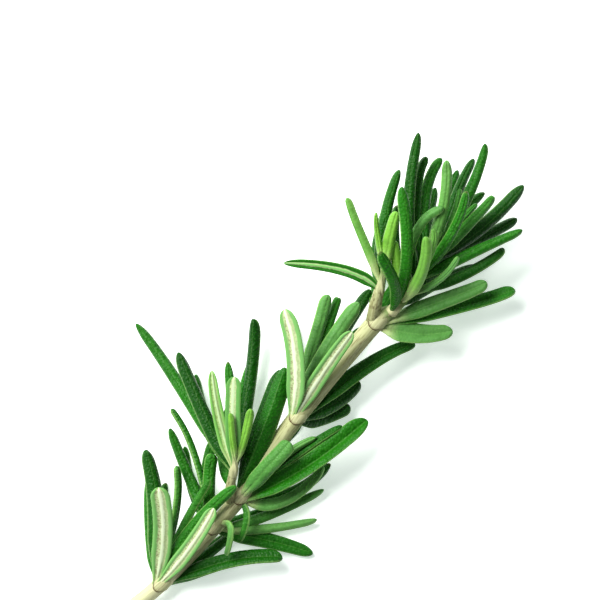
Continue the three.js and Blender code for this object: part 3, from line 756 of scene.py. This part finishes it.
# %% The leaf finish
def leaf_finish():
    """The green of both faces. It reads where each point is on its leaf, and how old the leaf is."""
    material, p, shader = new_material("rosemary leaf")
    across, t, upper = p.split(p.attribute("leaf_place"))
    tone, seed, _ = p.split(p.attribute("leaf_look"))
    pattern = p.attribute("leaf_mm")
    out = p.number("ABSOLUTE", across)

    # The upper face: darker patches, a painted highlight on the top of each blister and painted shade in
    # the creases between them, a painted highlight along each margin and a faint pale thread in the groove.
    old = p.mixed(p.ramp(tone, 0.0, 0.4), DEEP_GREEN, MIDDLE_GREEN)
    grown = p.mixed(p.ramp(tone, 0.35, 0.7), old, LIGHT_GREEN)
    top = p.mixed(p.ramp(tone, 0.68, 0.85), grown, YOUNG_GREEN)
    patches = p.noise(pattern, 0.4)
    top = p.mixed(p.ramp(patches, 0.5, 0.75, 0.0, 0.35), top, DEEP_GREEN)
    blisters = add_node(p.tree, "ShaderNodeTexVoronoi", pattern, None, BLISTERS_PER_MM, feature="F1")
    # Painted highlight on the tops of the blisters.
    top = p.mixed(p.ramp(blisters, 0.05, 0.35, 0.12, 0.0), top, PALE_AND_HIGHLIGHT_GREEN)
    # Painted shade in the creases between the blisters, less on young leaves.
    crease_shade = p.number("MULTIPLY", p.ramp(blisters, 0.4, 0.75), p.ramp(tone, 0.3, 0.55, 0.3, 0.05))
    top = p.mixed(crease_shade, top, DEEP_GREEN)
    # Painted highlight along each margin, a little stronger on young leaves.
    rim_highlight = p.number("MULTIPLY", p.ramp(out, 0.85, 0.98), p.ramp(tone, 0.0, 0.6, 0.45, 0.7))
    top = p.mixed(rim_highlight, top, PALE_AND_HIGHLIGHT_GREEN)
    top = p.mixed(p.ramp(out, 0.0, 0.1, 0.12, 0.0), top, PALE_AND_HIGHLIGHT_GREEN)

    # The underside: a cream midrib, specks in the felt beside it, more of them on one side, and green
    # rolls outside, which nearly meet on the darkest leaves. Young leaves are plain.
    specks = p.noise(pattern, 2.6, 2.0)
    speckled = p.number("MULTIPLY", p.ramp(specks, 0.45, 0.6), p.ramp(across, -0.15, 0.15, 0.35, 1.0))
    felt = p.mixed(speckled, FELT_GREEN, SPECK_BROWN)
    midrib = p.mixed(p.ramp(tone, 0.25, 0.4), ROLL_GREEN, MIDRIB_CREAM)
    uneven = p.noise(p.vector("MULTIPLY", pattern, (1.0, 0.4, 1.0)), 1.3)
    band = p.number("ADD", out, p.ramp(uneven, 0.3, 0.7, -0.06, 0.06))
    below = p.mixed(p.ramp(band, 0.1, 0.27), midrib, felt)
    felt_edge = p.ramp(tone, 0.25, 0.4, 0.18, 0.42)
    rolled = p.mixed(p.ramp(tone, 0.25, 0.4), top, ROLL_GREEN)
    below = p.mixed(p.ramp(band, felt_edge, p.number("ADD", felt_edge, 0.2)), below, rolled)
    below = p.mixed(p.ramp(tone, 0.55, 0.9), below, YOUNG_GREEN)

    # Both, and what the root and the tip have of their own.
    green = p.mixed(p.ramp(upper, 0.3, 0.7), below, top)
    faded = p.ramp(t, 0.0, p.ramp(tone, 0.5, 0.8, 0.16, 0.42), 1.0, 0.0)
    root_share = p.number("MULTIPLY", faded, p.ramp(tone, 0.15, 0.6, 0.0, 0.9))
    green = p.mixed(root_share, green, ROOT_CREAM)
    dry = p.number("MULTIPLY", p.ramp(t, 0.965, 1.0), p.ramp(seed, 0.8, 0.85))
    green = p.mixed(p.number("MULTIPLY", dry, 0.6), green, TIP_BROWN)
    p.tree.links.new(green, shader.inputs["Base Color"])

    # Fine blisters above, felt below.
    fuzz = p.noise(pattern, 7.0)
    relief = p.number("MULTIPLY", p.number("SUBTRACT", 1.0, blisters), upper)
    relief = p.number("ADD", relief, p.number("MULTIPLY", fuzz, 0.3))
    strength = p.ramp(tone, 0.4, 0.7, 0.8, 0.35)
    bump = add_node(p.tree, "ShaderNodeBump", strength, LEAF_BUMP, None, relief)
    p.tree.links.new(bump, shader.inputs["Normal"])
    roughness = p.ramp(upper, 0.3, 0.7, 0.8, 0.42)
    p.tree.links.new(roughness, shader.inputs["Roughness"])
    set_inputs(shader, Specular_IOR_Level=0.14, Subsurface_Weight=0.06, Subsurface_Scale=0.0008)
    shader.inputs["Subsurface Radius"].default_value = (0.4, 1.0, 0.1)
    return material


leaf_material = leaf_finish()
print("finish:", leaf_material.name)

# %% [markdown]
# ## The finish of the bark
#
# A young rosemary stem is tan, nearly square, with fine fibres along it: pale strips of cork between
# grey-brown streaks. Near the cut end the bark is pale, and it fades there to a near-white cream that is
# painted light, the glare of strong light on the lower stem. Near the tip it is greener. The streaks
# follow the stem, so the pattern reads an attribute that holds how far round and how far along each
# point is, and is stretched along it.

# %% The bark finish
BARK_BUMP = 0.12 * MM
BARK_TAN = (0.27, 0.29, 0.125, 1.0)
BARK_LIGHT = (0.43, 0.445, 0.24, 1.0)
BARK_BROWN = (0.13, 0.1, 0.035, 1.0)
CORE_GREEN = (0.1, 0.19, 0.04, 1.0)
SCAR_BROWN = (0.06, 0.03, 0.008, 1.0)
CREAM = (0.66, 0.66, 0.42, 1.0)


def bark_finish():
    """Bark with streaks along it. The marks of each point say how scarred, how green and how cream it is."""
    material, p, shader = new_material("rosemary bark")
    place = p.attribute("bark_mm")
    scarred, green, cream = p.split(p.attribute("bark_marks"))
    stretched = p.vector("MULTIPLY", place, (1.0, 0.1, 1.0))
    fibres = p.noise(stretched, 3.4, 6.0)
    broad = p.noise(stretched, 0.8)
    colour = p.mixed(p.ramp(broad, 0.3, 0.7), BARK_TAN, BARK_LIGHT)
    colour = p.mixed(p.ramp(fibres, 0.5, 0.7, 0.0, 0.7), colour, BARK_BROWN)
    flecks = p.noise(p.vector("MULTIPLY", place, (1.0, 0.4, 1.0)), 2.6, 2.0)
    colour = p.mixed(p.ramp(flecks, 0.68, 0.76, 0.0, 0.5), colour, BARK_BROWN)
    colour = p.mixed(cream, colour, CREAM)
    colour = p.mixed(green, colour, CORE_GREEN)
    colour = p.mixed(scarred, colour, SCAR_BROWN)
    p.tree.links.new(colour, shader.inputs["Base Color"])
    bump = add_node(p.tree, "ShaderNodeBump", 0.5, BARK_BUMP, None, fibres)
    p.tree.links.new(bump, shader.inputs["Normal"])
    set_inputs(shader, Roughness=0.7, Specular_IOR_Level=0.2)
    return material


bark_material = bark_finish()
print("finish:", bark_material.name)

# %% [markdown]
# ## Sweeping the wood
#
# The stem and the leaf bases are both tubes round a route. A curve object with a bevel would be quick,
# but it has one section all the way, and real bark has ridges that wander, swellings at the nodes and
# scars. So a helper lays rings of points round the route and asks a small function how far out each
# point is.

# %% Sweep a tube
def ring_frame(forward):
    """The directions across and above a route."""
    sky = Vector((0, 0, 1))
    above = (sky - forward * sky.dot(forward)).normalized()
    return forward.cross(above), above


def swept(name, rows, rings, sides, reach, marks):
    """A closed tube round a route: reach(share, turn, radius) is how far out a point is, in millimetres, and
    marks(share, turn) says how scarred, how green and how cream it is."""
    points, places, signs = [], [], []
    run, before = 0.0, None
    for ring in range(rings):
        share = ring / (rings - 1)
        centre, radius = along(rows, share)
        run += (centre - before).length if before else 0.0
        before = centre
        across, above = ring_frame(heading(rows, share))
        for side in range(sides):
            turn = 2 * math.pi * side / sides
            out = reach(share, turn, radius)
            spot = centre + across * (out * math.sin(turn)) + above * (out * math.cos(turn))
            points.append(placed(spot.x, spot.y, max(spot.z, TABLE_CLEARANCE / MM)))
            places.append((radius * math.sin(turn), run, radius * math.cos(turn)))
            signs.append(marks(share, turn))
    for share in (0.0, 1.0):
        centre, _ = along(rows, share)
        points.append(placed(*centre))
        places.append((0.0, run * share, 0.0))
        signs.append((0.0, 0.0, 1.0))
    mesh = bpy.data.meshes.new(name)
    mesh.from_pydata(points, [], tube_faces(rings, sides))
    add_attribute(mesh, "bark_mm", "FLOAT_VECTOR", places)
    add_attribute(mesh, "bark_marks", "FLOAT_VECTOR", signs)
    mesh.polygons.foreach_set("use_smooth", [True] * len(mesh.polygons))
    return mesh


# %% [markdown]
# ## The branched stem
#
# The stem has four soft ridges and fibres that wander along it, and carries the two stalks that the
# side shoots stand on. The three tubes are joined into one mesh.

# %% The stem
STEM_RINGS = 240
STEM_SIDES = 36
STALK_RINGS = 28
STALK_SIDES = 24
STEM_RIDGE = 0.05
RIDGES = 4
STEM_WAVES = (4.0, 14.0)
STALK_WAVES = (3.0, 5.0)
SPECK_WAVES = (3.0, 13.0)
FIBRE_HEIGHT = 0.07
# How far from the cut end the painted glare, a near-white cream, reaches, as a share of the stem.
GLARE_CREAM_END = 0.3
GREEN_START = 0.93
STALK_GREY = 0.12
STALK_GREEN = 0.05
SPECK_FROM = 0.08
SPECK_STRENGTH = 1.6
SPECK_MOST = 0.8


def rough(share, turn, waves):
    """Soft noise on a tube. The waves say how fast it changes round the tube and along it."""
    round_it, along_it = waves
    return noise.noise(Vector((math.sin(turn) * round_it, math.cos(turn) * round_it, share * along_it)))


def bark_reach(waves):
    """The reach of a tube of wood: four soft ridges, with fibres that wander on them."""
    def reach(share, turn, radius):
        ridged = radius * (1 + STEM_RIDGE * math.cos(RIDGES * turn))
        return ridged + FIBRE_HEIGHT * rough(share, turn, waves)

    return reach


def stem_marks(share, turn):
    """Near-white cream near the cut end, which is painted glare of strong light, and green near the tip."""
    return 0.0, max(0.0, (share - GREEN_START) / (1 - GREEN_START)), max(0.0, 1 - share / GLARE_CREAM_END)


def stalk_marks(share, turn):
    """A little greyer than the stem, with dark specks."""
    dark = STALK_GREY + SPECK_STRENGTH * max(0.0, rough(share, turn, SPECK_WAVES) - SPECK_FROM)
    return min(SPECK_MOST, dark), STALK_GREEN, 0.0


wood_meshes = [
    swept("stem", STEM_ROUTE, STEM_RINGS, STEM_SIDES, bark_reach(STEM_WAVES), stem_marks),
    swept("side stalk", SIDE_STALK, STALK_RINGS, STALK_SIDES, bark_reach(STALK_WAVES), stalk_marks),
    swept("short stalk", SHORT_STALK, STALK_RINGS, STALK_SIDES, bark_reach(STALK_WAVES), stalk_marks),
]


def joined_object(name, meshes, material):
    """One object that holds all of these meshes."""
    parts = []
    for mesh in meshes:
        part = bpy.data.objects.new(name, mesh)
        scene.collection.objects.link(part)
        parts.append(part)
    bpy.ops.object.select_all(action="DESELECT")
    for part in parts:
        part.select_set(True)
    bpy.context.view_layer.objects.active = parts[0]
    bpy.ops.object.join()
    parts[0].data.materials.append(material)
    return parts[0]


stem = joined_object("stem_with_bark", wood_meshes, bark_material)
print("stem:", len(stem.data.polygons), "faces")

# %% [markdown]
# ## The leaf bases
#
# Where a pair of leaves leaves the stem, their broad bases meet in a thin sheath that hugs it, with a
# brown scalloped line at its lower edge. The solid has a thick sleeve there, to hold its leaves
# together, and this is its fine form: a swept ring that comes out of the bark along two lobes, one for
# each leaf, and sinks back into it above. On a side shoot and on the tip, the same sweep makes the slim
# core that the leaves stand on, tan at its foot and green further on.

# %% A tuft's core
SOLID_SWELLING = 0.15
SLEEVE_WALL = 0.95
SLEEVE_HALF_LENGTH = 1.5
BASE_LENGTHENED = 1.5
BASE_THICKNESS = 0.16
BASE_SINK = 0.12
RIM_LOW = 0.08
RIM_LOBE = 0.3
SHEATH_RISE = 0.14
SHEATH_FALL = 0.5
RIM_SCAR_AT = 0.08
RIM_SCAR_WIDTH = 0.07
RIM_CREAM = 0.2
RIM_CREAM_RISE = 0.3
BASE_RINGS = 48
BASE_SIDES = 48
CORE_SLIMMER = 0.9
CORE_LEAST = 0.55
CORE_FOOT = 0.06
CORE_END = 0.05
CORE_SCAR = 0.9
CORE_CREAM = 0.2
FOLDS = 5
FOLD_WIND = 14
FOLD_HEIGHT = 0.06
ROOT_DEPTH = 1.9
SCAR_AT = 0.3
SCAR_WIDTH = 0.22
WOOD_LENGTH = 3.0


def core_of(tuft, lengthened=1.0):
    """The core's rows: the tuft's own, or a sleeve round the stem at its node."""
    if "core" in tuft:
        return tuft["core"]
    share = tuft["node"] / (len(STEM_ROUTE) - 1)
    middle, radius = along(STEM_ROUTE, share)
    forward = heading(STEM_ROUTE, share)
    out = radius + SOLID_SWELLING + SLEEVE_WALL
    half_length = SLEEVE_HALF_LENGTH * lengthened
    return [(*(middle + forward * end * half_length), out) for end in (-1, 0, 1)]


def rim_of(turn):
    """The share along the sleeve at which the base comes out of the bark."""
    return RIM_LOW + RIM_LOBE * math.sin(turn) ** 2


def eased(share):
    """Rises smoothly from 0 to 1."""
    part = min(1.0, max(0.0, share))
    return part * part * (3 - 2 * part)


def base_reach(share, turn, radius):
    """Hidden in the wood at both ends, and a thin sheath round it between them."""
    wood = radius - SLEEVE_WALL - SOLID_SWELLING
    out = eased((share - rim_of(turn)) / SHEATH_RISE) * eased((1 - share) / SHEATH_FALL)
    return wood - BASE_SINK + (BASE_THICKNESS + BASE_SINK) * out


def base_marks(share, turn):
    """A brown line where the sheath comes out, and a little cream above it."""
    above_rim = share - rim_of(turn)
    scar = math.exp(-(((above_rim - RIM_SCAR_AT) / RIM_SCAR_WIDTH) ** 2))
    return scar, 0.0, RIM_CREAM * eased(above_rim / RIM_CREAM_RISE)


def core_reach(share, turn, radius):
    """Slimmer than the solid's core, with low folds that wind round it."""
    slim = max(CORE_LEAST, radius - CORE_SLIMMER)
    folds = FOLD_HEIGHT * math.sin(FOLDS * turn + FOLD_WIND * share)
    return (slim + folds) * (0.5 + 0.5 * eased(share / CORE_FOOT)) * eased((1 - share) / CORE_END)


def core_marks(length):
    """The marks of a core this many millimetres long: a scar at its foot, tan wood, and green further on."""
    def marks(share, turn):
        run = share * length
        scar = math.exp(-(((run - SCAR_AT) / SCAR_WIDTH) ** 2))
        return CORE_SCAR * scar, eased((run - WOOD_LENGTH) / WOOD_LENGTH), CORE_CREAM

    return marks


def base_object(name, tuft):
    """The leaf bases of a tuft, as an object that its tree takes in."""
    rows = core_of(tuft, BASE_LENGTHENED)
    length = (Vector(rows[-1][:3]) - Vector(rows[0][:3])).length
    reach, marks = (core_reach, core_marks(length)) if "core" in tuft else (base_reach, base_marks)
    mesh = swept(name + " bases", rows, BASE_RINGS, BASE_SIDES, reach, marks)
    mesh.materials.append(bark_material)
    attribute = mesh.attributes.new("is_base", "BOOLEAN", "FACE")
    attribute.data.foreach_set("value", [True] * len(mesh.polygons))
    made = bpy.data.objects.new(mesh.name, mesh)
    scene.collection.objects.link(made)
    return made


# %% [markdown]
# ## Placing the leaves of a tuft
#
# A leaf's root is sunk in its core, on the side that the leaf leans to: the direction from the core to
# the middle of the leaf, less what points along the core. The curve's control point is worked out from
# the point halfway, because a point that the leaf really passes through is easier to choose than a
# handle. A fixed random number for each leaf varies its twist, its sway and its patches.

# %% The points that carry the leaves
def leaf_points(name, tuft):
    """A mesh of loose points, one for each leaf, with the leaf's numbers as attributes."""
    core = core_of(tuft)
    roots, bends, tips, shapes, looks = [], [], [], [], []
    for number, (share, halfway, tip, width, roll, tone, taper, fold) in enumerate(tuft["leaves"]):
        on_axis, radius = along(core, share)
        forward = heading(core, share)
        outward = Vector(halfway) - on_axis
        outward = (outward - forward * outward.dot(forward)).normalized()
        root = on_axis + outward * max(0.0, radius - ROOT_DEPTH)
        bend = 2 * Vector(halfway) - (root + Vector(tip)) / 2
        roots.append(placed(*root))
        bends.append(placed(*bend))
        tips.append(placed(*tip))
        shapes.append((width * MM, math.radians(roll), taper))
        looks.append((tone, noise.cell(Vector((number + 0.5, len(name) + 0.5, 0.5))), fold))
    mesh = bpy.data.meshes.new(name)
    mesh.from_pydata(roots, [], [])
    columns = {"root": roots, "bend": bends, "tip": tips, "shape": shapes, "leaf_look": looks}
    for key, values in columns.items():
        add_attribute(mesh, key, "FLOAT_VECTOR", values)
    made = bpy.data.objects.new(name, mesh)
    scene.collection.objects.link(made)
    return made


# %% [markdown]
# ## Growing each tuft
#
# The tree runs on the points of each tuft, its result is made a plain mesh, and the points, the bases
# and the tree's modifier are removed. The inputs are set by their identifiers before anything is
# evaluated. Each finished tuft then stands for its solid, which is hidden, and rides on the one body.

# %% Grow, freeze and hand over
LEAF_THICKNESS = 1.1 * MM
SETTINGS = {
    "Thickness": LEAF_THICKNESS,
    "Sway": 0.12 * MM,
    "Blister height": 0.045 * MM,
    "Blisters per mm": BLISTERS_PER_MM,
}
SLOTS = {"leafy_tip": "young_leaf", "leaves_short_shoot": "young_leaf"}


def grow(node_name, tuft):
    """Runs the tree for one tuft and gives the finished piece."""
    points = leaf_points(node_name, tuft)
    bases = base_object(node_name, tuft)
    modifier = points.modifiers.new("leaves", "NODES")
    modifier.node_group = leaf_tree
    given = {"Leaf": unit_leaf, "Leaf bases": bases}
    given.update({"Leaf finish": leaf_material, "Base finish": bark_material})
    for input_name, value in {**given, **SETTINGS}.items():
        modifier[identifier[input_name]] = value
    bpy.context.view_layer.update()
    grown = points.evaluated_get(bpy.context.evaluated_depsgraph_get())
    mesh = bpy.data.meshes.new_from_object(grown)
    piece = bpy.data.objects.new(node_name.replace("leaves", "foliage") + "_fine", mesh)
    scene.collection.objects.link(piece)
    for helper in (points, bases):
        bpy.data.objects.remove(helper)
    return piece


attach(stem, "root")
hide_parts("branched_stem")
unit_leaf = make_unit_leaf()
for node_name, tuft in TUFTS.items():
    piece = grow(node_name, tuft)
    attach(piece, "root")
    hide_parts(node_name)
    SLOTS.get(node_name, "leaf")
    print(piece.name, len(piece.data.polygons), "faces,", [slot.name for slot in piece.data.materials])
bpy.data.objects.remove(unit_leaf)
